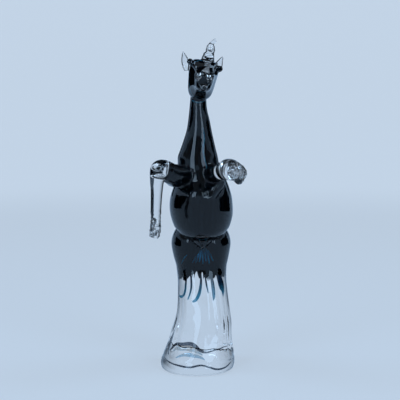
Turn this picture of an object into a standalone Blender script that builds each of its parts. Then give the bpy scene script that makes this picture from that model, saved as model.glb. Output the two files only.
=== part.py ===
"""A rearing horse made hot in one piece of furnace glass.

It faces -Y and stands on the cut underside of its fluted foot, with the origin in the middle of that
underside and +Z up. Its hind legs and tail run together in the foot, and its forelegs, ears, forelock
and mane are pulled and crimped out of the same glass, so the whole figure is one closed solid.
Head, neck, trunk and haunches are dark, and the rest is clear.
"""

import math

import bmesh
import bpy
from mathutils import Matrix, Vector
from mathutils.kdtree import KDTree

# Driving sizes, in metres. The pose and the proportions are stations in four-hundredths of HEIGHT.
HEIGHT = 0.400
UNIT = HEIGHT / 400
FLUTES = 15  # round the foot
FLUTE_DEPTH = 0.0026
FOOT_RIM = 0.014  # the smooth band under the flutes
GROIN_DEPTH = 0.0036
CRIMP_PITCH = 0.0050  # from one tool mark to the next along a hoof
CRIMP_DEPTH = 0.0023
CRIMP_LIMIT = 0.4  # the most that is pressed in, of the radius
TWIST_PITCH = 0.0036  # the same for the forelock
TWIST_DEPTH = 0.0011
MANE_LOCKS = 9
HEAD_ROLL = math.radians(10)  # the brow leans to the viewer's right

# How finely the glass is skinned.
SKIN_CELL = HEIGHT / 330
SMOOTHING_STEPS = 2
TRIANGLES = 9300
SECTION_SIDES = 72
EAR_RINGS, EAR_SIDES = 16, 24
BALL_SIDES, BALL_RINGS = 40, 24
PATH_STEPS = 6  # in a span between two stations
CRIMPED_STEPS = 16
TAIL_STEPS = 8

# Upright sections: height, middle in x, half width, front and back in y.
FOOT = (
    (-8, 0.0, 42.5, -58, 53),
    (0, 0.0, 44.6, -61, 56),
    (5, 0.1, 45.6, -62, 57),
    (11, 0.9, 44.8, -60.5, 56.5),
    (18, 2.0, 43.0, -57.5, 55.5),
    (30, 3.5, 39.9, -52, 53),
    (43, 5.0, 37.4, -47, 50),
    (55, 7.0, 35.4, -43, 48),
    (68, 7.5, 33.1, -39, 46),
    (80, 7.1, 31.8, -35, 45),
    (92, 6.4, 30.9, -30.5, 44.5),
    (105, 5.6, 30.3, -26.5, 45),
    (116, 5.1, 30.9, -23.5, 46),
    (123, 4.9, 31.7, -22, 47.5),
)
HAUNCHES = (
    *FOOT[-3:],
    (131, 4.6, 33.8, -21.5, 49.5),
    (141, 4.4, 35.9, -22, 51.5),
    (150, 4.4, 36.9, -22, 52),
    (158, 4.4, 35.6, -20, 52),
    (166, 4.4, 32.0, -16, 51),
    (174, 4.4, 27.5, -12, 48),
    (184, 4.4, 24.5, -8, 43),
    (196, 4.4, 21.5, -6, 37),
    (208, 4.4, 17.0, -4, 30),
)
FOOT_SQUARENESS = 2.2
FLUTE_RISE, FLUTE_TOP, FLUTE_FADE = 12, 128, 70
FLUTE_SWAY = 0.16  # how far, in radians, the flutes stray from even steps
GROIN_HEIGHT, GROIN_REACH = 138, 17
GROIN_SPREAD = 0.34  # in radians round the haunches
TRUNK = (
    (157, 5.5, 6.0, -30, -12),
    (160, 6.0, 15.5, -38, -2),
    (165, 5.8, 25.8, -46, 9),
    (170, 5.7, 30.6, -50.5, 17),
    (175, 5.4, 34.1, -53, 22),
    (185, 5.1, 37.3, -56.5, 28),
    (194, 4.7, 38.5, -58, 31),
    (203, 4.4, 38.3, -58, 31),
    (212, 4.5, 36.9, -56.5, 29),
    (224, 4.6, 33.0, -51, 25),
    (233, 3.9, 29.8, -45.5, 22),
    (242, 2.4, 27.2, -42, 19.5),
    (251, 1.0, 25.2, -39.5, 16.5),
    (258, 0.4, 24.4, -37, 14),
    (266, 0.8, 21.9, -33.5, 12),
    (278, 1.5, 18.4, -29.5, 9.5),
    (290, 2.0, 15.3, -26.5, 8),
    (302, 1.8, 13.2, -24, 7),
    (314, 1.0, 11.1, -22, 7),
    (326, 1.1, 10.1, -20, 8),
    (340, 2.5, 10.2, -18, 10),
    (354, 4.0, 9.0, -14, 10),
)
# Under the belly, where it runs down to a point between the thighs.
CROTCH = (
    (147, 5.7, 1.5, -25.5, -21),
    (149, 5.7, 3.8, -28, -18),
    (153, 5.7, 8.5, -31, -15),
    (159, 5.6, 15.5, -35, -10),
    (165, 5.5, 22, -40, -5),
    (171, 5.5, 28, -45, 0),
    (178, 5.5, 32.5, -50, 5),
)
# Sections across the head, from its back to the lips: y, middle in x and z, half width, half height.
HEAD = (
    (15, 5.0, 361, 6.0, 6.0),
    (10, 5.0, 358.5, 12.0, 13.0),
    (2, 5.2, 353.5, 15.6, 20.5),
    (-10, 5.4, 350.8, 16.8, 23.4),
    (-22, 5.7, 350.6, 16.8, 22.8),
    (-34, 6.2, 351.2, 15.2, 18.8),
    (-46, 6.8, 351.0, 12.8, 14.8),
    (-58, 7.3, 350.0, 11.0, 12.4),
    (-70, 7.6, 349.0, 10.6, 11.4),
    (-79, 7.8, 348.0, 9.4, 9.8),
    (-84, 7.8, 347.5, 6.0, 6.4),
)
HEAD_SQUARENESS = 4.2  # flat cheeks and a flat brow
BROW_FLARE = 0.17  # the head is this much wider at the brow, and narrower at the jaw, than at its middle

# Round limbs: x, y and z of the middle, and the radius there.
HANGING_LEG = (
    (-12, -28, 235, 11.0),
    (-20, -41, 238, 12.6),
    (-30, -52.5, 240.5, 12.8),
    (-39, -61, 246.5, 11.8),
    (-44.5, -66, 246.5, 10.6),
    (-46.6, -68, 236, 8.8),
    (-47.2, -68.5, 224, 7.4),
    (-47.9, -68.5, 210, 6.8),
    (-48.4, -69, 196, 6.4),
)
HANGING_HOOF = (
    (-48.4, -69, 196, 6.4),
    (-48.6, -69.5, 188, 6.8),
    (-49.2, -70.5, 178, 7.6),
    (-50.2, -71, 170.5, 6.8),
    (-50.8, -71, 167.5, 4.0),
)
REACHING_LEG = (
    (14, -28, 238, 11.0),
    (19, -41, 240, 11.0),
    (24, -54, 242, 10.0),
    (29.5, -67, 245, 10.8),
    (36, -80, 248.5, 12.6),
    (41, -92, 248, 11.6),
)
REACHING_HOOF = (
    (38, -86, 248.5, 12.0),
    (43, -97, 247.5, 11.2),
    (47.5, -107, 246.5, 10.4),
    (50.5, -113, 245.5, 7.0),
)
# The fold from the belly up to the reaching leg.
FOLD = (
    (9, -52, 203, 2.4),
    (15, -52.5, 212, 3.4),
    (21, -48.5, 220.5, 4.6),
    (26, -44.5, 228, 6.5),
    (26, -46, 236, 7),
)
FORELOCK = (
    (11.5, -4, 364, 8.5),
    (12.8, -4, 376, 8.0),
    (14.8, -4, 382, 5.8),
    (15.8, -4, 387, 6.0),
    (16.0, -3.5, 391.4, 3.4),
    (17.6, -3, 393.8, 2.4),
    (20.8, -2, 396.9, 3.1),
    (22.8, -2, 397.8, 1.8),
)
TAIL = (
    (4.4, 40, 176, 5.0),
    (4.6, 50, 166, 7.0),
    (5.0, 52, 150, 7.4),
    (5.4, 50, 136, 6.4),
    (5.8, 46.5, 123, 4.6),
    (6.0, 43.5, 114, 3.0),
)
TAIL_TURNS = 2
STRAND_OFFSET, STRAND_RADIUS = 0.5, 0.68  # of the tail's radius, for each of its two strands
# The mane's locks rise from the neck's crest above MANE_START.
MANE_START = 246
LOCK_REACH, LOCK_SWAY, LOCK_DROP = 13, 1.6, 10
LOCK_ROOT = 5  # how deep in the neck a lock begins
# Balls: x, y and z of the middle, and the three half sizes.
CHEST = (2, -37, 211, 22, 22.5, 19)
EYES = ((-8.8, -27, 372.0, 4.0, 4.4, 3.8), (25.8, -27, 363.2, 4.6, 4.4, 4.2))
SHOULDER = (-27, -38, 237, 13.5, 19, 13.5)
NOSTRILS = ((2.4, -81.5, 354.6, 5.8, 5.6, 5.6), (13.0, -81.5, 352.9, 5.8, 5.6, 5.6))
LIP = (7.6, -81.0, 341.6, 6.6, 5.4, 4.0)
TOES = ((44.8, -108, 253.6, 6, 6.2, 6), (49, -111, 246.5, 6, 6, 5.4), (47, -109, 239.4, 6.2, 6.2, 6))
# Ears: x, y and z of the root and of the tip, and half the width of the leaf.
EARS = ((-12, -6, 361, -17.4, -7, 384, 4.8), (21.5, -4, 359, 30.5, -5, 378.0, 4.8))
EAR_THICKNESS = 1.6
EAR_CUP = 2.6

GLASS_COLOURS = {
    "clear glass": ((0.93, 0.96, 0.98), 1.0),
    "dark glass": ((0.006, 0.010, 0.018), 0.0),
}
GLASS_ROUGHNESS = 0.03
GLASS_IOR = 1.5


def clear_scene():
    for thing in list(bpy.data.objects):
        bpy.data.objects.remove(thing, do_unlink=True)


def new_collection(name):
    made = bpy.data.collections.new(name)
    bpy.context.scene.collection.children.link(made)
    return made


def glass(name):
    colour, transmission = GLASS_COLOURS[name]
    material = bpy.data.materials.new(name)
    material.use_nodes = True
    shader = material.node_tree.nodes["Principled BSDF"]
    shader.inputs["Base Color"].default_value = (*colour, 1.0)
    shader.inputs["Roughness"].default_value = GLASS_ROUGHNESS
    shader.inputs["IOR"].default_value = GLASS_IOR
    shader.inputs["Transmission Weight"].default_value = transmission
    material.diffuse_color = (*colour, 1.0)
    return material


def between(a, b, c, d, t):
    """A smooth run from b to c, which a and d come before and after."""
    square = (2 * a - 5 * b + 4 * c - d) * t**2
    cube = (3 * b - a - 3 * c + d) * t**3
    return (2 * b + (c - a) * t + square + cube) / 2


def smooth_path(stations, steps=PATH_STEPS):
    """The stations with a smooth run of others between them, each a tuple as long as theirs."""
    path = []
    last = len(stations) - 1
    for i in range(last):
        before, here = stations[max(i - 1, 0)], stations[i]
        there, after = stations[i + 1], stations[min(i + 2, last)]
        for step in range(steps):
            values = zip(before, here, there, after)
            path.append(tuple(between(*four, step / steps) for four in values))
    path.append(tuple(stations[last]))
    return path


def outline(angle, power):
    """A point of a unit outline, round where power is 2 and squarer above that."""
    c, s = math.cos(angle), math.sin(angle)
    return math.copysign(abs(c) ** (2 / power), c), math.copysign(abs(s) ** (2 / power), s)


def loft(rings):
    """A closed mesh over rings of equally many points."""
    skin = bmesh.new()
    rows = [[skin.verts.new(point) for point in ring] for ring in rings]
    for row, following in zip(rows, rows[1:]):
        for i in range(len(row)):
            j = (i + 1) % len(row)
            skin.faces.new((row[i], row[j], following[j], following[i]))
    skin.faces.new(rows[0][::-1])
    skin.faces.new(rows[-1])
    bmesh.ops.recalc_face_normals(skin, faces=skin.faces[:])
    mesh = bpy.data.meshes.new("loft")
    skin.to_mesh(mesh)
    skin.free()
    return mesh


def column(stations, power=2, depth_at=lambda height, angle: 0):
    """A loft of upright sections. depth_at gives how far, in metres, the skin is pressed in."""
    rings = []
    for height, middle, half_width, front, back in smooth_path(stations):
        half_depth, centre = (back - front) / 2, (back + front) / 2
        ring = []
        for i in range(SECTION_SIDES):
            angle = math.tau * i / SECTION_SIDES
            x, y = outline(angle, power)
            point = Vector((x * half_width, y * half_depth, 0)) * UNIT
            point -= point.normalized() * depth_at(height * UNIT, angle)
            ring.append(point + Vector((middle, centre, height)) * UNIT)
        rings.append(ring)
    return loft(rings)


def soft(share):
    """From 0 to 1, slow at both ends."""
    share = min(max(share, 0), 1)
    return share * share * (3 - 2 * share)


def foot_relief(height, angle):
    """Soft flutes, and above them a groove between the thighs."""
    rise = soft((height - FOOT_RIM) / (FLUTE_RISE * UNIT))
    fade = soft((FLUTE_TOP * UNIT - height) / (FLUTE_FADE * UNIT))
    sway = math.sin(2 * angle + 0.8) + 0.6 * math.sin(3 * angle + height / (30 * UNIT))
    valley = (1 - math.cos(FLUTES * (angle + FLUTE_SWAY * sway))) / 2
    flutes = FLUTE_DEPTH * rise * fade * valley
    from_front = math.remainder(angle + math.pi / 2, math.tau)
    level = (height / UNIT - GROIN_HEIGHT) / GROIN_REACH
    groin = GROIN_DEPTH * math.exp(-((from_front / GROIN_SPREAD) ** 2) - level**2)
    return flutes + groin


def head_mesh():
    """Flat cheeks and a wide brow behind a narrow muzzle, rolled as one."""
    rings = []
    for y, middle_x, middle_z, half_width, half_height in smooth_path(HEAD):
        ring = []
        for i in range(SECTION_SIDES):
            across, up = outline(math.tau * i / SECTION_SIDES, HEAD_SQUARENESS)
            x = across * half_width * (1 + BROW_FLARE * up)
            z = up * half_height
            rolled_x = x * math.cos(HEAD_ROLL) + z * math.sin(HEAD_ROLL)
            rolled_z = z * math.cos(HEAD_ROLL) - x * math.sin(HEAD_ROLL)
            ring.append(Vector((middle_x + rolled_x, y, middle_z + rolled_z)) * UNIT)
        rings.append(ring)
    return loft(rings)


def tube(path):
    """A round rod along x, y, z and radius, in metres, closed at both ends."""
    curve = bpy.data.curves.new("rod", "CURVE")
    curve.dimensions = "3D"
    curve.bevel_depth = 1.0
    curve.bevel_resolution = 6
    curve.use_fill_caps = True
    spline = curve.splines.new("POLY")
    spline.points.add(len(path) - 1)
    for point, (x, y, z, radius) in zip(spline.points, path):
        point.co = (x, y, z, 1)
        point.radius = radius
    rod = bpy.data.objects.new("rod", curve)
    bpy.context.scene.collection.objects.link(rod)
    bpy.context.view_layer.update()
    mesh = bpy.data.meshes.new_from_object(rod.evaluated_get(bpy.context.evaluated_depsgraph_get()))
    bpy.data.objects.remove(rod)
    bpy.data.curves.remove(curve)
    skin = bmesh.new()
    skin.from_mesh(mesh)
    bmesh.ops.remove_doubles(skin, verts=skin.verts[:], dist=UNIT / 100)
    bmesh.ops.recalc_face_normals(skin, faces=skin.faces[:])
    skin.to_mesh(mesh)
    skin.free()
    return mesh


def limb(stations):
    return tube([tuple(value * UNIT for value in station) for station in smooth_path(stations)])


def crimped(stations, pitch=CRIMP_PITCH, depth=CRIMP_DEPTH):
    """A limb with a ring pressed in at every pitch along it."""
    stations = smooth_path(stations, CRIMPED_STEPS)
    path = [tuple(value * UNIT for value in station) for station in stations]
    run, marked = 0.0, []
    for i, (x, y, z, radius) in enumerate(path):
        if i:
            run += (Vector((x, y, z)) - Vector(path[i - 1][:3])).length
        pressed = 0.5 - 0.5 * math.cos(math.tau * run / pitch)
        marked.append((x, y, z, radius - min(depth, CRIMP_LIMIT * radius) * pressed))
    return tube(marked)


def ball(middle_and_half_sizes):
    """A ball stretched along the axes."""
    *middle, across, deep, high = (value * UNIT for value in middle_and_half_sizes)
    skin = bmesh.new()
    place = Matrix.Translation(middle) @ Matrix.Diagonal((across, deep, high, 1))
    bmesh.ops.create_uvsphere(skin, u_segments=BALL_SIDES, v_segments=BALL_RINGS, radius=1, matrix=place)
    mesh = bpy.data.meshes.new("ball")
    skin.to_mesh(mesh)
    skin.free()
    return mesh


def ear(x0, y0, z0, x1, y1, z1, half_width):
    """A leaf that is hollowed towards the front."""
    root, tip = Vector((x0, y0, z0)) * UNIT, Vector((x1, y1, z1)) * UNIT
    along = (tip - root).normalized()
    across = along.cross(Vector((0, 1, 0))).normalized()
    back = across.cross(along).normalized()
    if back.y < 0:
        back.negate()
    rings = []
    for i in range(EAR_RINGS + 1):
        t = i / EAR_RINGS
        width = half_width * UNIT * (0.12 + 0.95 * math.sin(math.pi * (0.24 + 0.74 * t)))
        middle = root.lerp(tip, t)
        ring = []
        for j in range(EAR_SIDES):
            c, s = math.cos(math.tau * j / EAR_SIDES), math.sin(math.tau * j / EAR_SIDES)
            cup = EAR_CUP * UNIT * s * s * math.sin(math.pi * t)
            ring.append(middle + across * width * c + back * (EAR_THICKNESS * UNIT * s + cup))
        rings.append(ring)
    return loft(rings)


def tail_strands():
    """Two rods twisted round the line of the tail, pressed against the haunches and the foot."""
    path = smooth_path(TAIL, TAIL_STEPS)
    strands = []
    for side in (0, math.pi):
        strand = []
        for i, (x, y, z, radius) in enumerate(path):
            turn = side + math.tau * TAIL_TURNS * i / (len(path) - 1)
            offset = STRAND_OFFSET * radius
            place = (x + offset * math.cos(turn), y + offset * math.sin(turn), z, STRAND_RADIUS * radius)
            strand.append(tuple(value * UNIT for value in place))
        strands.append(tube(strand))
    return strands


def mane_locks():
    """Spikes pulled from the crest of the neck, each swept back and down, and the next under it."""
    crest = [(x, back, z) for z, x, _, _, back in smooth_path(TRUNK) if z > MANE_START]
    locks = []
    for i in range(MANE_LOCKS):
        x, back, z = crest[round((len(crest) - 1) * (1 - i / MANE_LOCKS))]
        sway = LOCK_SWAY * (-1) ** i
        reach = LOCK_REACH * (1 + 0.15 * math.sin(2.1 * i))
        locks.append(
            limb(
                (
                    (x, back - LOCK_ROOT, z + 0.4 * LOCK_DROP, 4.6),
                    (x + 0.4 * sway, back + 0.35 * reach, z + 0.2 * LOCK_DROP, 4.4),
                    (x + sway, back + 0.8 * reach, z - 0.4 * LOCK_DROP, 3.2),
                    (x + 1.6 * sway, back + reach, z - LOCK_DROP, 1.7),
                )
            )
        )
    return locks


def melt(name, meshes):
    """One smooth skin round all the meshes, as a mesh."""
    together = bmesh.new()
    for mesh in meshes:
        together.from_mesh(mesh)
    joined = bpy.data.meshes.new(name)
    together.to_mesh(joined)
    together.free()
    lump = bpy.data.objects.new(name, joined)
    bpy.context.scene.collection.objects.link(lump)
    skin = lump.modifiers.new("skin", "REMESH")
    skin.mode = "VOXEL"
    skin.voxel_size = SKIN_CELL
    smooth = lump.modifiers.new("smooth", "SMOOTH")
    smooth.iterations = SMOOTHING_STEPS
    bpy.context.view_layer.update()
    melted = bpy.data.meshes.new_from_object(lump.evaluated_get(bpy.context.evaluated_depsgraph_get()))
    bpy.data.objects.remove(lump)
    return melted


def cut_flat(figure, cutters):
    """Cuts away what is under the ground plane."""
    size = HEIGHT
    mesh = bpy.data.meshes.new("under_the_foot")
    block = bmesh.new()
    bmesh.ops.create_cube(block, size=size, matrix=Matrix.Translation((0, 0, -size / 2)))
    block.to_mesh(mesh)
    block.free()
    cutter = bpy.data.objects.new("under_the_foot", mesh)
    cutters.objects.link(cutter)
    cutter.hide_render = True
    cutter.display_type = "WIRE"
    cut = figure.modifiers.new("flat underside", "BOOLEAN")
    cut.operation = "DIFFERENCE"
    cut.object = cutter


def colour(mesh, dark, clear):
    """Gives each face the glass of the shape that it lies nearest to."""
    slots = [slot for slot, group in enumerate((dark, clear)) for shape in group for _ in shape.vertices]
    nearest = KDTree(len(slots))
    for index, vertex in enumerate(vertex for shape in dark + clear for vertex in shape.vertices):
        nearest.insert(vertex.co, index)
    nearest.balance()
    for name in ("dark glass", "clear glass"):
        mesh.materials.append(glass(name))
    for face in mesh.polygons:
        _, index, _ = nearest.find(face.center)
        face.material_index = slots[index]


def crystal_horse():
    parts = new_collection("crystal horse")
    cutters = new_collection("cutters")
    dark = [column(TRUNK), column(HAUNCHES, FOOT_SQUARENESS, foot_relief), head_mesh()]
    dark += [ball(sizes) for sizes in (CHEST, SHOULDER, *EYES, *NOSTRILS, LIP)]
    dark += [column(CROTCH), limb(FOLD)]
    clear = [column(FOOT, FOOT_SQUARENESS, foot_relief)]
    clear += [limb(HANGING_LEG), crimped(HANGING_HOOF), limb(REACHING_LEG), crimped(REACHING_HOOF)]
    clear += [*(ball(sizes) for sizes in TOES), *(ear(*sizes) for sizes in EARS)]
    clear += [crimped(FORELOCK, TWIST_PITCH, TWIST_DEPTH)]
    clear += [*tail_strands(), *mane_locks()]
    mesh = melt("crystal_horse", dark + clear)
    mesh.materials.clear()
    colour(mesh, dark, clear)
    mesh.shade_smooth()
    figure = bpy.data.objects.new("crystal_horse", mesh)
    parts.objects.link(figure)
    fewer = figure.modifiers.new("fewer faces", "DECIMATE")
    fewer.ratio = TRIANGLES / sum(len(face.vertices) - 2 for face in mesh.polygons)
    cut_flat(figure, cutters)


clear_scene()
crystal_horse()
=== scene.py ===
"""A rearing horse made hot in one piece of furnace glass, dark in the body and clear in the limbs.

The clear skin is closed, with bubbles and pits of air in it. The dark glass and the coloured streaks are closed
surfaces that lie inside it.
"""

import math

import bpy
import numpy as np
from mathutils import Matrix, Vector


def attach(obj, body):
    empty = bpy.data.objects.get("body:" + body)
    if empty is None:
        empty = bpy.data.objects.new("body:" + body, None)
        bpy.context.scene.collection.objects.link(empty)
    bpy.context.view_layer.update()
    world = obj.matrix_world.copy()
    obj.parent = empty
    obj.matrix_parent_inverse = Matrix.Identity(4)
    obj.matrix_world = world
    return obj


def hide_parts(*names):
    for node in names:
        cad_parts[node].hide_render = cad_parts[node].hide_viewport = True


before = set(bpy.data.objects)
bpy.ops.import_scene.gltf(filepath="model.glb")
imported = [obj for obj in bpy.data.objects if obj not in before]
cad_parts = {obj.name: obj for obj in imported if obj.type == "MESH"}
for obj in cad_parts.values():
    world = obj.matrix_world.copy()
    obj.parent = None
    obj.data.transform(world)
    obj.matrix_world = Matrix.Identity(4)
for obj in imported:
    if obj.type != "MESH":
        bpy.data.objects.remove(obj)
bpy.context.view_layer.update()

# Lengths below are in four-hundredths of the figure's height.
UNIT = 0.400 / 400
CELL, FINE_CELL = 1.55, 1.0  # how finely the clear skin is found, and how finely in the stretches below
FINE = (((-60, -39), (37, 60)), ((-120, -66), (-13, -1)), ((330, 402),))  # in x, y and z
CORE_CELL = 1.7
PADDING = 3  # cells of open space round a surface
FAR = 1e3  # taken for the distance where no shape is near
SHAPE_REACH = 12  # how far round a shape its distance is worked out
DENT_REACH, DENT_MELT = 6, 1.2

FLUTES = 15
FLUTE_DEPTH = 1.5
FLUTE_FOOT, FLUTE_RISE, FLUTE_TOP, FLUTE_FADE = 14, 12, 128, 70
FLUTE_SWAY = 0.16
GROIN_DEPTH, GROIN_HEIGHT, GROIN_REACH, GROIN_SPREAD = 3.6, 138, 17, 0.34
CRIMP_PITCH, CRIMP_DEPTH = 5.0, 2.3
CRIMP_LIMIT = 0.4  # the most of its radius that a rod loses to a crimp
FORELOCK_PITCH, FORELOCK_DEPTH = 3.6, 1.1
HEAD_ROLL = math.radians(10)
HEAD_SQUARENESS = 4.2
BROW_FLARE = 0.17
FOOT_SQUARENESS = 2.2
FLOOR_GAP = 0.15
SKIN_INSET = 0.3  # so that no tip passes the solid's
# Ledges round the foot: height, how far it wanders, half height and depth.
LEDGES = ((13, 1.6, 2.4, 0.9),)
CRUMPLE = 1.5  # how uneven the hot glass is left, and below, the share of it that each part takes
HANGING_CRUMPLE, REACHING_CRUMPLE, FORELOCK_CRUMPLE = 0.6, 0.5, 0.5

# Upright sections: height, middle in x, half width, front and back in y.
FOOT = (
    (-8, 0.0, 42.5, -58, 53),
    (0, 0.0, 44.6, -61, 56),
    (5, 0.1, 45.6, -62, 57),
    (11, 0.9, 44.8, -60.5, 56.5),
    (18, 2.0, 43.0, -57.5, 55.5),
    (30, 3.5, 39.9, -52, 53),
    (43, 5.0, 37.4, -47, 50),
    (55, 7.0, 35.4, -43, 48),
    (68, 7.5, 33.1, -39, 46),
    (80, 7.1, 31.8, -35, 45),
    (92, 6.4, 30.9, -30.5, 44.5),
    (105, 5.6, 30.3, -26.5, 45),
    (116, 5.1, 30.9, -23.5, 46),
    (123, 4.9, 31.7, -22, 47.5),
    (131, 4.6, 33.8, -21.5, 49.5),
    (141, 4.4, 35.9, -22, 51.5),
    (150, 4.4, 36.9, -22, 52),
    (158, 4.4, 35.6, -20, 52),
    (166, 4.4, 32.0, -16, 51),
    (174, 4.4, 27.5, -12, 48),
    (184, 4.4, 24.5, -8, 43),
    (196, 4.4, 21.5, -6, 37),
    (208, 4.4, 17.0, -4, 30),
)
TRUNK = (
    (157, 5.5, 6.0, -30, -12),
    (160, 6.0, 15.5, -38, -2),
    (165, 5.8, 25.8, -46, 9),
    (170, 5.7, 30.6, -50.5, 17),
    (175, 5.4, 34.1, -53, 22),
    (185, 5.1, 37.3, -56.5, 28),
    (194, 4.7, 38.5, -58, 31),
    (203, 4.4, 38.3, -58, 31),
    (212, 4.5, 36.9, -56.5, 29),
    (224, 4.6, 33.0, -51, 25),
    (233, 3.9, 29.8, -45.5, 22),
    (242, 2.4, 27.2, -42, 19.5),
    (251, 1.0, 25.2, -39.5, 16.5),
    (258, 0.4, 24.4, -37, 14),
    (266, 0.8, 21.9, -33.5, 12),
    (278, 1.5, 18.4, -29.5, 9.5),
    (290, 2.0, 15.3, -26.5, 8),
    (302, 1.8, 13.2, -24, 7),
    (314, 1.0, 11.1, -22, 7),
    (326, 1.1, 10.1, -20, 8),
    (340, 2.5, 10.2, -18, 10),
    (354, 4.0, 9.0, -14, 10),
)
# Under the belly, where it runs down to a point between the thighs.
CROTCH = (
    (147, 5.7, 1.5, -25.5, -21),
    (149, 5.7, 3.8, -28, -18),
    (153, 5.7, 8.5, -31, -15),
    (159, 5.6, 15.5, -35, -10),
    (165, 5.5, 22, -40, -5),
    (171, 5.5, 28, -45, 0),
    (178, 5.5, 32.5, -50, 5),
)
# Sections across the head, from the lips back: y, middle in x and z, half width, half height.
HEAD = (
    (-84, 7.8, 347.5, 6.0, 6.4),
    (-79, 7.8, 348.0, 9.4, 9.8),
    (-70, 7.6, 349.0, 10.6, 11.4),
    (-58, 7.3, 350.0, 11.0, 12.4),
    (-46, 6.8, 351.0, 12.8, 14.8),
    (-34, 6.2, 351.2, 15.2, 18.8),
    (-22, 5.7, 350.6, 16.8, 22.8),
    (-10, 5.4, 350.8, 16.8, 23.4),
    (2, 5.2, 353.5, 15.6, 20.5),
    (10, 5.0, 358.5, 12.0, 13.0),
    (15, 5.0, 361, 6.0, 6.0),
)
# Round limbs: x, y and z of the middle, and the radius there.
HANGING_LEG = (
    (-12, -28, 235, 11.0),
    (-20, -41, 238, 12.6),
    (-30, -52.5, 240.5, 12.8),
    (-39, -61, 246.5, 11.8),
    (-44.5, -66, 246.5, 10.6),
    (-46.6, -68, 236, 8.8),
    (-47.2, -68.5, 224, 7.4),
    (-47.9, -68.5, 210, 6.8),
    (-48.4, -69, 196, 6.4),
)
HANGING_HOOF = (
    (-48.4, -69, 196, 6.4),
    (-48.6, -69.5, 188, 6.6),
    (-49.0, -70.5, 178, 7.2),
    (-49.9, -71, 170.5, 6.6),
    (-50.4, -71, 167.5, 4.0),
)
REACHING_LEG = (
    (14, -28, 238, 11.0),
    (19, -41, 240, 11.0),
    (24, -54, 242, 10.0),
    (29.5, -67, 245, 10.8),
    (36, -80, 248.5, 12.6),
    (41, -92, 248, 11.6),
)
REACHING_HOOF = (
    (38, -86, 248.5, 12.0),
    (43, -97, 247.5, 11.2),
    (46.5, -107, 246.5, 10.1),
    (49.4, -113, 245.5, 7.0),
)
# The fold from the belly up to the reaching leg.
FOLD = (
    (9, -52, 203, 2.4),
    (15, -52.5, 212, 3.4),
    (21, -48.5, 220.5, 4.6),
    (26, -44.5, 228, 6.5),
    (26, -46, 236, 7),
)
FORELOCK = (
    (11.5, -4, 364, 8.5),
    (12.8, -4, 376, 8.0),
    (14.8, -4, 382, 5.8),
    (15.8, -4, 387, 6.0),
    (16.0, -3.5, 391.4, 3.4),
    (17.6, -3, 393.8, 2.7),
    (20.8, -2, 396.5, 3.0),
    (22.8, -2, 397.0, 1.8),
)
TAIL = (
    (4.4, 40, 176, 5.0),
    (4.6, 50, 166, 7.0),
    (5.0, 52, 150, 7.4),
    (5.4, 50, 136, 6.4),
    (5.8, 46.5, 123, 4.6),
    (6.0, 43.5, 114, 3.0),
)
TAIL_TURNS = 2
STRAND_OFFSET, STRAND_SHARE = 0.5, 0.68  # of the tail's own radius
MANE_LOCKS = 9
MANE_START = 246
LOCK_REACH, LOCK_SWAY = 13, 1.6
# Balls: x, y and z of the middle, and the three half sizes.
CHEST = (2, -37, 211, 22, 22.5, 19)
EYES = ((-8.8, -27, 372.0, 4.0, 4.4, 3.8), (25.8, -27, 363.2, 4.6, 4.4, 4.2))
SHOULDER = (-27, -38, 237, 13.5, 19, 13.5)
NOSTRILS = ((2.4, -81.5, 354.6, 5.8, 5.6, 5.6), (13.0, -81.5, 352.9, 5.8, 5.6, 5.6))
NOSTRIL_DENT = (-89.0, 4.0)  # its middle in y, and its radius
LIP = (7.6, -81.0, 341.6, 6.6, 5.4, 4.0)
# Air trapped in the clear glass: in the legs and the hooves, the nostrils, the lip, an eye and the forelock.
BUBBLES = (
    (-43.4, -65.5, 239.4, 6.6, 5.6, 3.2),
    (-45.5, -64.5, 248.0, 4.6, 4.6, 3.4),
    (-36.5, -57.5, 245.5, 3.0, 6.0, 6.0),
    (33, -72, 246.5, 6.2, 11, 6.4),
    (44.0, -99, 245.6, 3.4, 4.6, 3.4),
    (47.5, -107.5, 250.4, 2.6, 2.6, 2.2),
    (49.4, -108.5, 242.6, 2.4, 2.8, 2.4),
    (43.2, -106.0, 241.0, 2.0, 2.4, 2.2),
    (-50.6, -71.0, 187, 1.8, 2.0, 3.4),
    (-47.6, -70.0, 179, 2.6, 2.6, 3.2),
    (-51.0, -71.0, 173, 2.4, 2.6, 2.6),
    (2.0, -79.0, 354.8, 3.0, 3.0, 3.0),
    (13.2, -79.0, 353.2, 3.0, 3.0, 3.0),
    (7.6, -79.5, 341.6, 4.0, 2.4, 2.0),
    (26.4, -28, 363.2, 2.2, 2.2, 2.2),
    (13.6, -4.0, 376.5, 3.0, 2.4, 2.6),
    (15.6, -4.0, 386.6, 2.2, 2.0, 1.8),
)
MOUTH = (7.8, -88.5, 346.8, 9.0, 5.0, 1.1)
TOES = ((44.2, -108, 253.6, 6, 6.2, 6), (47.2, -111, 246.5, 5.9, 6, 5.4), (47, -109, 239.4, 6.2, 6.2, 6))
EARS = ((-12, -6, 361, -17.4, -7, 384, 4.8), (21.5, -4, 359, 30.5, -5, 378.0, 4.8))
EAR_THICKNESS = 1.5
EAR_CUP = 2.6
HANGING_CORE_END, REACHING_CORE_END = -23, 22  # where the dark glass ends along the forelegs, in x
MUZZLE_CORE_END = -68  # and in the muzzle, in y
MUZZLE_CORE_MELT = 5.0
# How thick the clear glass lies over the dark.
FOOT_CASING, TRUNK_CASING, CHEST_CASING, HEAD_CASING, EYE_CASING = 2.8, 2.6, 2.4, 1.3, 1.5
HANGING_CASING, REACHING_CASING = 2.4, 2.2
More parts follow.
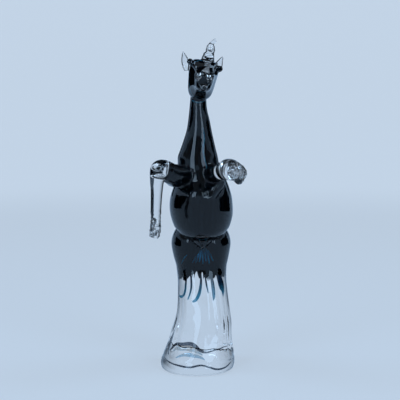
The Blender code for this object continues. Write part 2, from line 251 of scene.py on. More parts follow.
# The lower edge of the dark glass, round a middle in x and y.
EDGE_X, EDGE_Y, EDGE_HEIGHT, EDGE_WAVE = 5, 12, 118, 2.5
EDGE_RISE, EDGE_RISE_START, EDGE_RISE_REACH = 5, 10, 12  # it rises towards the right
TEETH_DEPTH, TEETH_PER_RADIAN, TEETH_SHARPNESS = 15, 4.3, 1.6


def smooth_path(stations, steps=16):
    """The stations with a smooth run of others between them, as rows."""
    rows = np.array(stations, float)
    before, after = np.vstack((rows[:1], rows[:-2])), np.vstack((rows[2:], rows[-1:]))
    a, b, c, d = (part[:, None, :] for part in (before, rows[:-1], rows[1:], after))
    t = (np.arange(steps) / steps)[None, :, None]
    run = 2 * b + (c - a) * t + (2 * a - 5 * b + 4 * c - d) * t**2 + (3 * b - a - 3 * c + d) * t**3
    return np.vstack((run.reshape(-1, rows.shape[1]) / 2, rows[-1:]))


def across(u, v, half_u, half_v, power):
    """How far a point lies outside a superellipse along its own radius, and the angle of that radius."""
    share_u, share_v = np.abs(u) / half_u, np.abs(v) / half_v
    share = np.maximum((share_u**power + share_v**power) ** (1 / power), 1e-6)
    reach = np.maximum(np.hypot(u, v), 1e-6 * half_u)
    rise, run = (share_v / share) ** (power / 2), (share_u / share) ** (power / 2)
    return reach - reach / share, np.arctan2(np.copysign(rise, v), np.copysign(run, u))


def soft(share):
    """From 0 to 1, slow at both ends."""
    share = np.clip(share, 0, 1)
    return share * share * (3 - 2 * share)


class Shape:
    """A closed form: where it is, how far points lie outside it, and how softly it melts into the rest."""

    def __init__(self, low, high, distance, melt=4.0):
        self.low, self.high = np.array(low, float), np.array(high, float)
        self.distance, self.melt = distance, melt


def column(stations, power=2.0, depth_at=None, melt=4.0):
    """A form through upright sections, each a superellipse, with a relief cut in by depth_at."""
    rows = smooth_path(stations)
    low = (min(rows[:, 1] - rows[:, 2]), min(rows[:, 3]), rows[0, 0])
    high = (max(rows[:, 1] + rows[:, 2]), max(rows[:, 4]), rows[-1, 0])

    def distance(p):
        x, y, z = p.T
        middle, half, front, back = (np.interp(z, rows[:, 0], rows[:, k]) for k in range(1, 5))
        away, angle = across(x - middle, y - (front + back) / 2, half, (back - front) / 2, power)
        if depth_at:
            away = away + depth_at(z, angle)
        return np.maximum(away, np.maximum(rows[0, 0] - z, z - rows[-1, 0]))

    return Shape(low, high, distance, melt)


def foot_relief(height, angle):
    """Round flutes with narrow valleys between them, and above them a groove between the thighs."""
    rise = soft((height - FLUTE_FOOT) / FLUTE_RISE)
    fade = soft((FLUTE_TOP - height) / FLUTE_FADE)
    from_front = np.abs(np.remainder(angle + math.pi / 2 + math.pi, math.tau) - math.pi)
    sway = np.sin(2 * angle + 0.8) + 0.6 * np.sin(3 * angle + height / 30)
    ridge = 0.5 + 0.5 * np.cos(FLUTES * (angle + FLUTE_SWAY * sway))
    flutes = FLUTE_DEPTH * rise * fade * (1 - ridge) * (1 - 0.7 * soft((from_front - 1.6) / 0.8))
    level = (height - GROIN_HEIGHT) / GROIN_REACH
    groin = GROIN_DEPTH * np.exp(-((from_front / GROIN_SPREAD) ** 2) - level**2)
    ledges = 0
    for middle, wander, reach, depth in LEDGES:
        line = middle + wander * (np.sin(3 * angle + 0.6) + 0.6 * np.sin(7 * angle + 1.5)) / 1.6
        ledges = ledges + depth * np.exp(-(((height - line) / reach) ** 2))
    return flutes + groin + ledges


def head():
    """The long squared head, rolled to one side and flared at the brow."""
    rows = smooth_path(HEAD)

    def distance(p):
        x, y, z = p.T
        middle_x, middle_z, half_width, half_height = (np.interp(y, rows[:, 0], rows[:, k]) for k in range(1, 5))
        off_x, off_z = x - middle_x, z - middle_z
        side = off_x * math.cos(HEAD_ROLL) - off_z * math.sin(HEAD_ROLL)
        up = off_x * math.sin(HEAD_ROLL) + off_z * math.cos(HEAD_ROLL)
        side = side / (1 + BROW_FLARE * np.clip(up / half_height, -1.2, 1.2))
        away, _ = across(side, up, half_width, half_height, HEAD_SQUARENESS)
        return np.maximum(away, np.maximum(rows[0, 0] - y, y - rows[-1, 0]))

    return Shape((-20, -86, 322), (32, 17, 382), distance, melt=3.0)


def rod(path, melt=3.0, flat_end=True):
    """A round rod along x, y, z and radius rows, with a flat far end."""
    path = np.array(path, float)
    points, radii = path[:, :3], path[:, 3]
    spans = points[1:] - points[:-1]
    lengths = np.einsum("ij,ij->i", spans, spans)
    towards = spans[-1] / math.sqrt(lengths[-1])

    def distance(p):
        nearest = np.full(len(p), np.inf)
        for start, span, length, thick, thin in zip(points, spans, lengths, radii, radii[1:]):
            off = p - start
            t = np.clip(off @ span / length, 0, 1)
            off -= t[:, None] * span
            away = np.sqrt(np.einsum("ij,ij->i", off, off)) - (thick + t * (thin - thick))
            np.minimum(nearest, away, out=nearest)
        return np.maximum(nearest, (p - points[-1]) @ towards) if flat_end else nearest

    return Shape((points - radii[:, None]).min(0), (points + radii[:, None]).max(0), distance, melt)


def crimped(stations, pitch=CRIMP_PITCH, depth=CRIMP_DEPTH):
    """A rod with a ring pressed in at every pitch along it."""
    path = smooth_path(stations)
    run = np.concatenate(((0.0,), np.linalg.norm(np.diff(path[:, :3], axis=0), axis=1).cumsum()))
    path[:, 3] -= np.minimum(depth, CRIMP_LIMIT * path[:, 3]) * (0.5 - 0.5 * np.cos(math.tau * run / pitch))
    return rod(path, melt=1.5)


def ball(sizes, melt=3.0):
    middle, half = np.array(sizes[:3], float), np.array(sizes[3:], float)

    def distance(p):
        off = (p - middle) / half
        share = np.maximum(np.sqrt(np.einsum("ij,ij->i", off, off)), 1e-6)
        return (share - 1) * half.min()

    return Shape(middle - half, middle + half, distance, melt)


def ear(x0, y0, z0, x1, y1, z1, half_width):
    """A leaf that is hollowed towards the front."""
    root, tip = np.array((x0, y0, z0), float), np.array((x1, y1, z1), float)
    along = tip - root
    length = np.linalg.norm(along)
    along /= length
    side = np.cross(along, (0, 1, 0))
    side /= np.linalg.norm(side)
    back = np.cross(side, along)
    back *= np.sign(back[1])

    def distance(p):
        off = p - root
        t = off @ along / length
        held = np.clip(t, 0, 1)
        width = half_width * (0.12 + 0.95 * np.sin(math.pi * (0.24 + 0.74 * held)))
        u = off @ side
        cup = EAR_CUP * np.clip(1 - (u / width) ** 2, 0, 1) * np.sin(math.pi * held)
        away = np.hypot(np.maximum(np.abs(u) - width + EAR_THICKNESS, 0), off @ back - cup) - EAR_THICKNESS
        return np.maximum(away, np.maximum(-t, t - 1) * length)

    middle, reach = (root + tip) / 2, length / 2 + half_width + 2
    return Shape(middle - reach, middle + reach, distance, melt=2.0)


def tail_strands():
    path = smooth_path(TAIL, 8)
    turns = math.tau * TAIL_TURNS * np.arange(len(path)) / (len(path) - 1)
    for side in (0, math.pi):
        strand = path.copy()
        strand[:, 0] += STRAND_OFFSET * path[:, 3] * np.cos(turns + side)
        strand[:, 1] += STRAND_OFFSET * path[:, 3] * np.sin(turns + side)
        strand[:, 3] *= STRAND_SHARE
        yield rod(strand, melt=1.5)


def mane_locks():
    crest = smooth_path(TRUNK, 6)
    crest = crest[crest[:, 0] > MANE_START]
    for i in range(MANE_LOCKS):
        z, x, _, _, back = crest[round((len(crest) - 1) * (1 - i / MANE_LOCKS))]
        sway = LOCK_SWAY * (-1) ** i
        reach = LOCK_REACH * (1 + 0.15 * math.sin(2.1 * i))
        stations = (
            (x, back - 5, z + 4, 4.6),
            (x + 0.4 * sway, back + 0.35 * reach, z + 2, 4.4),
            (x + sway, back + 0.8 * reach, z - 4, 3.2),
            (x + 1.6 * sway, back + reach, z - 10, 1.7),
        )
        yield rod(smooth_path(stations, 8), melt=2.0)


def blend(field, other, melt):
    """The lower of two distances, rounded where they meet."""
    share = np.clip(0.5 + 0.5 * (other - field) / melt, 0, 1)
    return other + (field - other) * share - melt * share * (1 - share)


def distance_of(shapes, p):
    """How far each point lies outside the shapes melted together."""
    field = np.full(len(p), FAR)
    for shape in shapes:
        near = np.all((p > shape.low - SHAPE_REACH) & (p < shape.high + SHAPE_REACH), axis=1)
        if near.any():
            field[near] = blend(field[near], shape.distance(p[near]), shape.melt)
    return field


def grid_steps(low, high, cell, fine):
    """Steps of a cell from low to high, shorter in the fine stretches."""
    steps = [low]
    while steps[-1] < high:
        short = any(start <= steps[-1] < end for start, end in fine)
        steps.append(steps[-1] + (FINE_CELL if short else cell))
    return np.array(steps)


def find_skin(distance, shapes, cell, fine=((), (), ())):
    """Vertices, in units, and quads of the surface where the distance is zero."""
    low = np.min([shape.low for shape in shapes], axis=0) - PADDING * cell
    high = np.max([shape.high for shape in shapes], axis=0) + PADDING * cell
    low[2] = max(low[2], -PADDING * cell)
    steps = [grid_steps(low[k], high[k], cell, fine[k]) for k in range(3)]
    counts = [len(along) for along in steps]
    grid = np.empty(counts)
    for i, x in enumerate(steps[0]):
        y, z = np.meshgrid(steps[1], steps[2], indexing="ij")
        slab = np.stack((np.full(y.size, x), y.ravel(), z.ravel()), axis=1)
        grid[i] = distance(slab).reshape(y.shape)
    strides = np.array((counts[1] * counts[2], counts[2], 1))
    rings, crossings = [], []
    for axis in range(3):
        first = [slice(None)] * 3
        second = [slice(None)] * 3
        first[axis], second[axis] = slice(None, -1), slice(1, None)
        a, b = grid[tuple(first)], grid[tuple(second)]
        edge = np.argwhere((a < 0) != (b < 0))
        start, end = a[tuple(edge.T)], b[tuple(edge.T)]
        point = edge.astype(float)
        point[:, axis] += start / (start - end)
        u, v = (k for k in range(3) if k != axis)
        base = edge @ strides
        ring = np.stack((base, base - strides[u], base - strides[u] - strides[v], base - strides[v]), axis=1)
        turned = (start > 0) != (axis == 1)
        ring[turned] = ring[turned, ::-1]
        rings.append(ring)
        crossings.append(np.repeat(point, 4, axis=0))
    rings, crossings = np.vstack(rings), np.vstack(crossings)
    _, corners = np.unique(rings, return_inverse=True)
    corners = corners.ravel()
    total = np.bincount(corners)
    places = [np.bincount(corners, crossings[:, k]) / total for k in range(3)]
    vertices = np.stack([np.interp(places[k], range(counts[k]), steps[k]) for k in range(3)], axis=1)
    return vertices, corners.reshape(-1, 4)


def settle(distance, vertices, rounds=3):
    """The vertices moved on to the surface along the steepest way."""
    h = 0.08
    for _ in range(rounds):
        slope = np.stack(
            [
                (distance(vertices + step) - distance(vertices - step)) / (2 * h)
                for step in np.eye(3) * h
            ],
            axis=1,
        )
        steep = np.maximum(np.einsum("ij,ij->i", slope, slope), 0.05)
        move = (distance(vertices) / steep)[:, None] * slope
        vertices = vertices - np.clip(move, -1, 1)
    return vertices


def clear_shapes():
    shapes = [column(FOOT, FOOT_SQUARENESS, foot_relief), column(TRUNK), ball(CHEST), head()]
    shapes += [ball(SHOULDER, melt=2.0), column(CROTCH, melt=2.0)]
    shapes.append(rod(smooth_path(FOLD), melt=2.5, flat_end=False))
    shapes += [ball(sizes, melt=2.0) for sizes in (*EYES, *NOSTRILS, LIP)]
    shapes += [rod(smooth_path(HANGING_LEG)), crimped(HANGING_HOOF)]
    shapes += [rod(smooth_path(REACHING_LEG)), crimped(REACHING_HOOF)]
    shapes += [ball(sizes, melt=1.5) for sizes in TOES]
    shapes += [ear(*sizes) for sizes in EARS]
    shapes += [crimped(FORELOCK, FORELOCK_PITCH, FORELOCK_DEPTH), *tail_strands(), *mane_locks()]
    return shapes


def make_piece(name, vertices, faces, material):
    mesh = bpy.data.meshes.new(name)
    mesh.from_pydata([tuple(v) for v in vertices * UNIT], [], [list(face) for face in faces])
    mesh.validate()
    mesh.materials.append(material)
    mesh.shade_smooth()
    piece = bpy.data.objects.new(name, mesh)
    bpy.context.scene.collection.objects.link(piece)
    return piece


def add_nodes(tree, *kinds):
    return [tree.nodes.new(f"ShaderNode{kind}") for kind in kinds]


def set_range(node, low, high, dim, full):
    """The node takes what it is given from low to high, to what it gives from dim to full."""
    node.inputs["From Min"].default_value, node.inputs["From Max"].default_value = low, high
    node.inputs["To Min"].default_value, node.inputs["To Max"].default_value = dim, full


def set_ramp(node, first, second):
    ends = node.color_ramp.elements
    ends[0].color, ends[1].color = (*first, 1), (*second, 1)


def node_material(name, **values):
    """A material and its nodes, its shader's sockets set to the values."""
    material = bpy.data.materials.new(name)
    material.use_nodes = True
    tree = material.node_tree
    shader = tree.nodes["Principled BSDF"]
    for socket, value in values.items():
        socket = socket.replace("_", " ")
        shader.inputs[socket].default_value = (*value, 1) if isinstance(value, tuple) else value
    return material, tree, shader


def ripple(tree, shader, scale, depth):
    """A slight wave in the skin, as fire leaves it."""
    place, wave, bump = add_nodes(tree, "TexCoord", "TexNoise", "Bump")
    wave.inputs["Scale"].default_value = scale
    wave.inputs["Detail"].default_value = 1
    bump.inputs["Strength"].default_value = 1
    bump.inputs["Distance"].default_value = depth
    tree.links.new(place.outputs["Object"], wave.inputs["Vector"])
    tree.links.new(wave.outputs["Fac"], bump.inputs["Height"])
    tree.links.new(bump.outputs["Normal"], shader.inputs["Normal"])


def clear_glass():
    material, tree, shader = node_material(
        "clear glass", Base_Color=(1.0, 1.0, 1.0), Roughness=0.0, IOR=1.55, Transmission_Weight=1.0
    )
    ripple(tree, shader, scale=40, depth=0.0002)
    return material


def sealed_glass(name, dark, light, scale):
    """Coloured glass, seen through the clear glass that it is sealed in, streaked along its height."""
    material, tree, shader = node_material(name, Roughness=0.6, Specular_IOR_Level=0.0)
    place, stretch, streaks, ramp = add_nodes(tree, "TexCoord", "Mapping", "TexNoise", "ValToRGB")
    stretch.inputs["Scale"].default_value = (scale, scale, scale / 6)
    streaks.inputs["Detail"].default_value = 2
    ramp.color_ramp.elements[0].position, ramp.color_ramp.elements[1].position = 0.45, 0.75
    set_ramp(ramp, dark, light)
    tree.links.new(place.outputs["Object"], stretch.inputs["Vector"])
    tree.links.new(stretch.outputs["Vector"], streaks.inputs["Vector"])
    tree.links.new(streaks.outputs["Fac"], ramp.inputs["Fac"])
    tree.links.new(ramp.outputs["Color"], shader.inputs["Base Color"])
    return material


TINT_WANDER = 0.03  # how far, in metres, the change of colour wanders in height


def tinted_glass(name, first, second, start, end, scale=60):
    """Coloured glass fused into the clear, of one colour at the height start and another at the height end."""
    material, tree, shader = node_material(
        name, Roughness=0.0, IOR=1.0, Transmission_Weight=1.0, Specular_IOR_Level=0.0
    )
    place, split, wave, mix, ramp = add_nodes(tree, "TexCoord", "SeparateXYZ", "TexNoise", "MapRange", "ValToRGB")
    (shift,) = add_nodes(tree, "Math")
    wave.inputs["Scale"].default_value = scale
    shift.operation = "MULTIPLY_ADD"
    shift.inputs[1].default_value = TINT_WANDER
    set_range(mix, start, end, 0, 1)
    tree.links.new(place.outputs["Object"], split.inputs["Vector"])
    tree.links.new(place.outputs["Object"], wave.inputs["Vector"])
    tree.links.new(wave.outputs["Fac"], shift.inputs[0])
    tree.links.new(split.outputs["Z"], shift.inputs[2])
    tree.links.new(shift.outputs["Value"], mix.inputs["Value"])
    tree.links.new(mix.outputs["Result"], ramp.inputs["Fac"])
    set_ramp(ramp, first, second)
    tree.links.new(ramp.outputs["Color"], shader.inputs["Base Color"])
    return material


def glowing(name, colour, low, high, dim, full):
    """Paper that glows from dim to full the straighter it lies behind the object.

    The cosine of the turn from straight behind goes from low to high.
    """
    material, tree, shader = node_material(
        name, Base_Color=(0.0, 0.0, 0.0), Roughness=1.0, Specular_IOR_Level=0.0, Emission_Color=colour
    )
    place, flat, way, split, level = add_nodes(
        tree, "TexCoord", "VectorMath", "VectorMath", "SeparateXYZ", "MapRange"
    )
    way.operation = "NORMALIZE"
    flat.operation = "MULTIPLY"
    flat.inputs[1].default_value = (1, 1, 0)
    tree.links.new(place.outputs["Object"], flat.inputs[0])
    tree.links.new(flat.outputs["Vector"], way.inputs[0])
    tree.links.new(way.outputs["Vector"], split.inputs["Vector"])
    level.interpolation_type = "SMOOTHSTEP"
    set_range(level, low, high, dim, full)
    tree.links.new(split.outputs["Y"], level.inputs["Value"])
    tree.links.new(level.outputs["Result"], shader.inputs["Emission Strength"])
    return material


SWEEP_GLOW = (0.445, 0.515, 0.597)
SWEEP_RISE = 0.06  # the height over which the sweep goes from the floor's level to the wall's
FLOOR_LEVEL, WALL_LEVEL = 0.87, 0.98


def sweep_paper():
    """Pale paper, a little dimmer on the floor."""
    material, tree, shader = node_material(
        "pale sweep", Base_Color=(0.30, 0.33, 0.36), Roughness=1.0, Specular_IOR_Level=0.0, Emission_Color=SWEEP_GLOW
    )
    place, split, level = add_nodes(tree, "TexCoord", "SeparateXYZ", "MapRange")
    tree.links.new(place.outputs["Object"], split.inputs["Vector"])
    level.interpolation_type = "SMOOTHSTEP"
    set_range(level, 0.0, SWEEP_RISE, FLOOR_LEVEL, WALL_LEVEL)
    tree.links.new(split.outputs["Z"], level.inputs["Value"])
    tree.links.new(level.outputs["Result"], shader.inputs["Emission Strength"])
    return material


def black_card():
    material, _, _ = node_material(
        "black card", Base_Color=(0.004, 0.004, 0.005), Roughness=1.0, Specular_IOR_Level=0.0
    )
    return material


def within(shape, casing):
    """The shape drawn in from its own surface by the casing."""
    return Shape(shape.low, shape.high, lambda p: shape.distance(p) + casing, shape.melt)


def head_core(casing):
    """The dark glass of the head, rounded off behind the clear muzzle."""
    shape = head()
    return Shape(
        shape.low,
        shape.high,
        lambda p: -blend(-shape.distance(p) - casing, p[:, 1] - MUZZLE_CORE_END, MUZZLE_CORE_MELT),
        shape.melt,
    )


def core_edge(p):
    """The height that the dark glass reaches down to, in uneven teeth round the haunches."""
    angle = np.arctan2(p[:, 1] - EDGE_Y, p[:, 0] - EDGE_X)
    teeth = np.abs(np.remainder(angle * TEETH_PER_RADIAN + 0.5 * np.sin(5 * angle), 1) * 2 - 1)
    uneven = 0.75 + 0.25 * np.sin(11 * angle + 2)
    rise = EDGE_RISE * soft((p[:, 0] - EDGE_RISE_START) / EDGE_RISE_REACH) + EDGE_WAVE * np.sin(3 * angle + 1)
    return EDGE_HEIGHT - TEETH_DEPTH * uneven * (1 - teeth) ** TEETH_SHARPNESS + rise


skin_shapes = clear_shapes()
hanging = smooth_path(HANGING_LEG)
reaching = smooth_path(REACHING_LEG)
core_shapes = [
    within(column(FOOT, FOOT_SQUARENESS, foot_relief), FOOT_CASING),
    within(column(TRUNK), TRUNK_CASING),
    within(ball(CHEST), CHEST_CASING),
    within(ball(SHOULDER, melt=2.0), CHEST_CASING),
    within(column(CROTCH, melt=2.0), CHEST_CASING),
    head_core(HEAD_CASING),
    *(within(ball(sizes), EYE_CASING) for sizes in EYES),
    within(rod(hanging[hanging[:, 0] > HANGING_CORE_END], flat_end=False), HANGING_CASING),
    within(rod(reaching[reaching[:, 0] < REACHING_CORE_END], flat_end=False), REACHING_CASING),
]
dent_y, dent_radius = NOSTRIL_DENT
dents = [ball((x, dent_y, z, dent_radius, dent_radius, dent_radius)) for x, _, z, *_ in NOSTRILS]
dents += [ball(sizes) for sizes in (MOUTH, *BUBBLES)]


def crumple(p):
    """How far the skin is pressed in, unevenly, round the two hooves and the forelock."""
    x, y, z = p.T
    hanging_hoof = HANGING_CRUMPLE * soft((-42 - x) / 3) * soft((202 - z) / 12)
    reaching_hoof = REACHING_CRUMPLE * soft((-y - 94) / 6) * soft((x - 36) / 4)
    forelock = FORELOCK_CRUMPLE * soft((z - 372) / 6) * soft((388 - z) / 5) * soft((x - 4) / 3) * soft((23 - x) / 2)
    wave = np.sin(0.9 * x + 1.3 * y + 0.6 * z) * np.sin(0.7 * y - 1.1 * z + 1.2 * x)
    wave = wave + 0.6 * np.sin(1.7 * z + 0.9 * y)
    return CRUMPLE * (hanging_hoof + reaching_hoof + forelock) * (1 + wave) / 2


def skin_distance(p):
    field = distance_of(skin_shapes, p)
    for dent in dents:
        near = np.all((p > dent.low - DENT_REACH) & (p < dent.high + DENT_REACH), axis=1)
        if near.any():
            field[near] = -blend(-field[near], dent.distance(p[near]), DENT_MELT)
    return np.maximum(field + crumple(p) + SKIN_INSET, FLOOR_GAP - p[:, 2])


def core_distance(p):
    return np.maximum(distance_of(core_shapes, p), core_edge(p) - p[:, 2])


vertices, faces = find_skin(skin_distance, skin_shapes, CELL, FINE)
skin = make_piece("clear_skin", settle(skin_distance, vertices), faces, clear_glass())
vertices, faces = find_skin(core_distance, core_shapes, CORE_CELL)
core = make_piece(
    "dark_core",
    settle(core_distance, vertices, rounds=1),
    faces,
    sealed_glass("dark glass", (0.002, 0.004, 0.007), (0.004, 0.012, 0.02), scale=60),
)

# Streaks sealed under the front skin: x, z and radius along each. The drips hang from the edge of the dark glass, the
# fan lies over it between the thighs, and the streaks over the neck and the head are blue glass painted bright as
# highlights along the neck, the top of the neck and the rim of the brow.
DRIPS = (
    (
        (-12.4, 112, 0.8),
        (-13.1, 104, 1.3),
        (-13.7, 95, 1.5),
        (-15.2, 89, 1.7),
        (-18.2, 86.4, 1.7),
        (-20.4, 87.4, 0.9),
    ),
    ((-8.6, 118, 0.7), (-7.2, 110, 1.1), (-7.0, 101, 1.2), (-8.4, 93, 1.0), (-10.8, 86, 0.8)),
    ((4.0, 117, 0.8), (4.4, 108, 1.3), (3.6, 99, 1.7), (1.6, 91, 2.0), (-1.6, 85.5, 1.9), (-4.6, 83.6, 1.3)),
    ((9.0, 116, 0.7), (10.4, 106, 1.0), (12.0, 98, 0.8), (12.8, 94, 0.5)),
    ((15.0, 118, 1.0), (17.2, 108, 1.8), (18.6, 98, 2.0), (19.4, 89, 1.6), (19.0, 85.5, 0.8)),
    ((22.6, 120, 1.2), (24.6, 111, 3.4), (26.8, 101, 4.0), (28.6, 93, 2.8), (29.8, 88, 1.0)),
    ((-24.0, 124, 0.6), (-21.6, 121, 0.9), (-22.6, 117.5, 0.9), (-24.4, 119, 0.6)),
    ((-22.4, 110, 0.6), (-20.6, 113, 0.8), (-19.8, 109, 0.9), (-21.6, 105.6, 0.7)),
)
FAN = (
    ((0.6, 140, 0.42), (-2.4, 136, 0.9), (-6.0, 130, 0.8)),
    ((3.4, 145, 0.42), (1.0, 138, 1.1), (-2.0, 130, 0.9)),
    ((5.6, 147, 0.5), (4.2, 140, 1.3), (2.4, 131, 0.9)),
    ((7.4, 148, 0.56), (7.0, 140, 1.6), (6.8, 129, 1.1)),
    ((9.2, 148, 0.5), (9.8, 141, 1.3), (10.4, 132, 0.8)),
    ((10.8, 147, 0.42), (12.4, 140, 1.2), (14.2, 129, 0.9)),
    ((13.0, 145, 0.42), (15.8, 139, 1.0), (18.6, 132, 0.8)),
    ((-12.6, 139, 0.56), (-16.0, 134, 1.26), (-18.6, 128, 0.7)),
)
# Painted highlights, partly blue glass: bright streaks where light catches the neck, the top of the neck and the rim
# of the brow.
NECK_AND_BROW_HIGHLIGHTS = (
    ((6.6, 293, 0.36), (8.0, 282, 0.84), (6.6, 268, 1.08), (8.6, 256, 0.72), (11.6, 246, 0.36)),
    ((-5.6, 325.5, 0.36), (-3.0, 324, 1.08), (2.0, 323.4, 1.2), (7.0, 324.6, 0.48)),
    ((-9.0, 352, 0.3), (-8.4, 344, 1.0), (-6.6, 336, 1.3), (-4.4, 331, 0.5)),
    ((-9.0, 358, 0.48), (-7.4, 364, 1.2), (-3.0, 369.4, 1.32), (3.4, 372, 0.96), (9.4, 371.6, 0.36)),
)


def under_skin(rows, depth):
    """A path through rows of x, z and radius, so deep under the front of the skin."""
    rows = smooth_path(rows, 8)
    reach = np.arange(-95, 30, 0.5)
    path = []
    for x, z, radius in rows:
        line = np.stack((np.full(reach.size, x), reach, np.full(reach.size, z)), axis=1)
        away = np.maximum(skin_distance(line), -depth - radius)
        path.append((x, reach[np.argmin(away)], z, radius))
    return np.array(path)


def tube(path, sides=14, cap=4):
    """A closed round tube along x, y, z and radius rows, and where its faces' corners lie."""
    points, radii = path[:, :3], path[:, 3]
    points = points.copy()
    points[1:-1, 1] = (points[:-2, 1] + points[1:-1, 1] + points[2:, 1]) / 3
    along = np.gradient(points, axis=0)
    along /= np.linalg.norm(along, axis=1)[:, None]
    turns = np.arange(cap) / cap * math.pi / 2
    least = 0.02  # so that the caps don't end in a point

    def cap_ring(end, way, t):
        return points[end] + way * along[end] * radii[end] * math.cos(t), along[end], radii[end] * math.sin(t) + least

    places = [cap_ring(0, -1, t) for t in turns]
    places += list(zip(points, along, radii))
    places += [cap_ring(-1, 1, t) for t in turns[::-1]]
    rings = []
    for middle, way, radius in places:
        u = np.cross(way, (0, 1, 0))
        u /= np.linalg.norm(u)
        v = np.cross(way, u)
        rings += [middle + radius * (u * math.cos(a) + v * math.sin(a)) for a in np.arange(sides) * math.tau / sides]
    faces = [list(range(sides)), list(range(len(rings) - sides, len(rings)))[::-1]]
    for ring in range(len(places) - 1):
        for i in range(sides):
            j = (i + 1) % sides
            faces.append([ring * sides + j, ring * sides + i, (ring + 1) * sides + i, (ring + 1) * sides + j])
    return np.array(rings), faces


def sealed_streaks(name, streaks, depth, material):
    """One piece of all the streaks, so deep under the skin."""
    vertices, faces = [], []
    for rows in streaks:
        points, corners = tube(under_skin(rows, depth))
        start = sum(len(part) for part in vertices)
        vertices.append(points)
        faces += [[start + corner for corner in face] for face in corners]
    piece = make_piece(name, np.vstack(vertices), faces, material)
    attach(piece, "root")


# The smoky band low in the foot, its rise at the left and the line along its bottom, and two veils under the band.
WISPS = (
    (
        (-30.9, 23, 1.0),
        (-25, 30.4, 1.8),
        (-14.5, 33.5, 2.2),
        (-5, 34, 2.4),
        (3.1, 28, 1.8),
        (10, 25.5, 1.2),
        (18.3, 27, 0.9),
        (27.7, 28.6, 0.8),
        (33.6, 29.2, 0.4),
    ),
    ((-24.6, 46, 1.0), (-26.6, 36, 3.4), (-30.0, 27, 3.4), (-33.0, 18, 1.0)),
    (
        (-40.4, 13, 0.4),
        (-32, 10.4, 0.9),
        (-20, 9.6, 1.0),
        (-8.6, 9.3, 1.0),
        (4.3, 11.5, 1.2),
        (13.6, 9, 1.0),
        (23, 6, 1.0),
        (32.4, 6.3, 0.8),
        (39, 9, 0.4),
    ),
)
VEIL = (
    ((-27, 23, 0.8), (-21, 26.5, 2.6), (-12, 28.5, 3.4), (-3, 27, 2.8), (5, 23, 0.8)),
    ((-24, 17, 0.6), (-17, 20.5, 1.8), (-8, 21.5, 2.6), (1, 20.5, 2.0), (8, 17.5, 0.6)),
)
tinted = tinted_glass("tinted glass", (0.006, 0.018, 0.04), (0.05, 0.28, 0.42), start=0.121, end=0.099)
sealed_streaks("blue_drips", DRIPS, 1.6, tinted)
smoky = tinted_glass("smoky glass", (0.07, 0.09, 0.12), (0.16, 0.18, 0.21), start=0.02, end=0.06)
sealed_streaks("smoky_wisps", WISPS, 3.0, smoky)
veiled = tinted_glass("veil glass", (0.45, 0.62, 0.74), (0.70, 0.62, 0.54), start=0.036, end=0.046, scale=200)
sealed_streaks("smoky_veil", VEIL, 5.0, veiled)
blue = sealed_glass("blue glass", (0.01, 0.20, 0.36), (0.06, 0.62, 0.98), scale=90)
sealed_streaks("blue_fan", FAN, 0.5, blue)
# Painted highlight: the bright blue of these streaks stands in for light along the neck and the brow's rim.
highlight_glass = sealed_glass("painted highlight glass", (0.02, 0.18, 0.32), (0.10, 0.56, 0.82), scale=90)
sealed_streaks("blue_painted_highlights", NECK_AND_BROW_HIGHLIGHTS, 0.6, highlight_glass)

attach(skin, "root")
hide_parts("crystal_horse")
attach(core, "root")


def bowl(name, profile, turns=96):
    """A smooth bowl round the object, from its profile of radius and height."""
    points = [(r * math.cos(a), r * math.sin(a), z) for r, z in profile for a in np.arange(turns) * math.tau / turns]
    faces = [tuple(range(turns))]
    for ring in range(len(profile) - 1):
        for i in range(turns):
            j = (i + 1) % turns
            faces.append((ring * turns + i, ring * turns + j, (ring + 1) * turns + j, (ring + 1) * turns + i))
    mesh = bpy.data.meshes.new(name)
    mesh.from_pydata(points, [], faces)
    mesh.shade_smooth()
    made = bpy.data.objects.new(name, mesh)
    bpy.context.scene.collection.objects.link(made)
    return made


FLOOR_RADIUS, COVE_RADIUS, COVE_RISE, COVE_TOP = 1.3, 2.6, 1.1, 1.45
COVE_STEPS = 24
# What is seen through the glass, and what is mirrored in it.
GLASS_GLOW = (0.47, 0.585, 0.73)
GLOSS_GLOW = (0.29, 0.43, 0.62)
profile = [(0.02, 0.0), (FLOOR_RADIUS * 0.5, 0.0), (FLOOR_RADIUS, 0.0)]
for step in range(1, COVE_STEPS + 1):
    turn = math.pi / 2 * step / COVE_STEPS
    profile.append(
        (FLOOR_RADIUS + (COVE_RADIUS - FLOOR_RADIUS) * math.sin(turn), COVE_RISE * (1 - math.cos(turn)))
    )
profile.append((COVE_RADIUS, COVE_TOP))
cove = bowl("cove", profile)
cove.data.materials.append(sweep_paper())
cove.visible_glossy = cove.visible_transmission = False
dome = [(r, COVE_TOP + z) for r, z in ((2.5, 0.5), (2.1, 1.2), (1.4, 1.8), (0.6, 2.1), (0.02, 2.2))]
behind = bowl("cove_behind_glass", profile + dome)
behind.data.materials.append(
    glowing("lit from behind", GLASS_GLOW, low=0.55, high=0.985, dim=0.06, full=1.05)
)
behind.visible_camera = behind.visible_glossy = behind.visible_diffuse = behind.visible_shadow = False
mirrored = bowl("cove_in_gloss", profile)
mirrored.data.materials.append(
    glowing("seen in gloss", GLOSS_GLOW, low=0.93, high=0.998, dim=0.92, full=1.15)
)
mirrored.visible_camera = mirrored.visible_transmission = False
mirrored.visible_diffuse = mirrored.visible_shadow = False

world = bpy.data.worlds.new("studio")
bpy.context.scene.world = world
world.use_nodes = True
world.node_tree.nodes["Background"].inputs["Color"].default_value = (0.60, 0.72, 0.86, 1)
world.node_tree.nodes["Background"].inputs["Strength"].default_value = 0.12


LIGHT_COLOUR = (0.50, 0.73, 1.0)
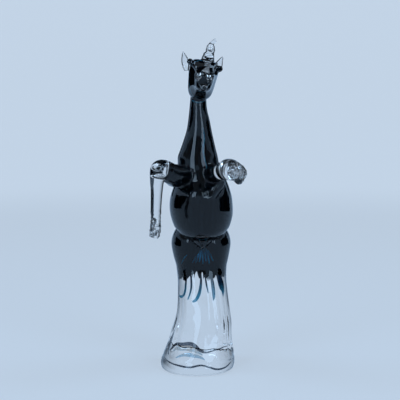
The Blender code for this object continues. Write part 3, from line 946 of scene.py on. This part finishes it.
# Lights: name, place, what they are turned to, width, height and power.
SOFTBOXES = (
    ("strip_left", (-0.95, -1.31, 1.35), (0, 0, 0.6), 0.7, 1.5, 9),
    ("strip_right", (0.95, -1.31, 1.35), (0, 0, 0.6), 0.7, 1.5, 9),
    ("high_left", (-1.2, 0.2, 1.9), (0, 0, 0.25), 0.7, 0.7, 7),
    ("high_right", (1.2, 0.2, 1.9), (0, 0, 0.25), 0.7, 0.7, 7),
    ("back_left", (-0.42, 1.5, 1.35), (0, 0, 0.37), 0.35, 0.45, 0.6),
    ("back_right", (0.42, 1.5, 1.35), (0, 0, 0.37), 0.35, 0.45, 0.6),
)
# Black cards: name, degrees from straight behind, lower and upper edge, and width.
FLAGS = (
    ("dark_left", -79, 0.02, 0.60, 1.1),
    ("dark_right", 75, 0.02, 0.66, 1.4),
    ("shade_left", -25, 0.25, 0.70, 0.5),
    ("shade_right", 25, 0.25, 0.70, 0.5),
    ("shade_brow", 0, 0.75, 1.40, 0.9),
)
FLAG_DISTANCE = 1.4


def softbox(name, place, aim, width, height, power):
    light = bpy.data.lights.new(name, "AREA")
    light.shape = "RECTANGLE"
    light.size, light.size_y = width, height
    light.energy = power
    light.color = LIGHT_COLOUR
    lamp = bpy.data.objects.new(name, light)
    lamp.location = place
    lamp.rotation_euler = (Vector(aim) - Vector(place)).to_track_quat("-Z", "Y").to_euler()
    lamp.visible_camera = False
    bpy.context.scene.collection.objects.link(lamp)


def flag(name, azimuth, low, high, width):
    """A black card round the object, which only gloss sees."""
    a = math.radians(azimuth)
    middle = Vector((FLAG_DISTANCE * math.sin(a), FLAG_DISTANCE * math.cos(a), 0))
    side = Vector((math.cos(a), -math.sin(a), 0)) * width / 2
    corners = [middle + side * s + Vector((0, 0, z)) for s, z in ((-1, low), (1, low), (1, high), (-1, high))]
    mesh = bpy.data.meshes.new(name)
    mesh.from_pydata([tuple(c) for c in corners], [], [(0, 1, 2, 3)])
    card = bpy.data.objects.new(name, mesh)
    bpy.context.scene.collection.objects.link(card)
    mesh.materials.append(black_card())
    card.visible_camera = card.visible_diffuse = card.visible_shadow = card.visible_transmission = False


for row in SOFTBOXES:
    softbox(*row)
for row in FLAGS:
    flag(*row)

CAMERA_PLACE = (0.0031, -1.5, 0.370)
CAMERA_DIP = 6.31  # degrees that it looks down by
lens = bpy.data.cameras.new("view")
lens.lens, lens.sensor_width = 111.42, 36
camera = bpy.data.objects.new("view", lens)
camera.location = CAMERA_PLACE
camera.rotation_euler = (math.radians(90 - CAMERA_DIP), 0, 0)
bpy.context.scene.collection.objects.link(camera)
bpy.context.scene.camera = camera
bpy.context.scene.view_settings.view_transform = "Standard"
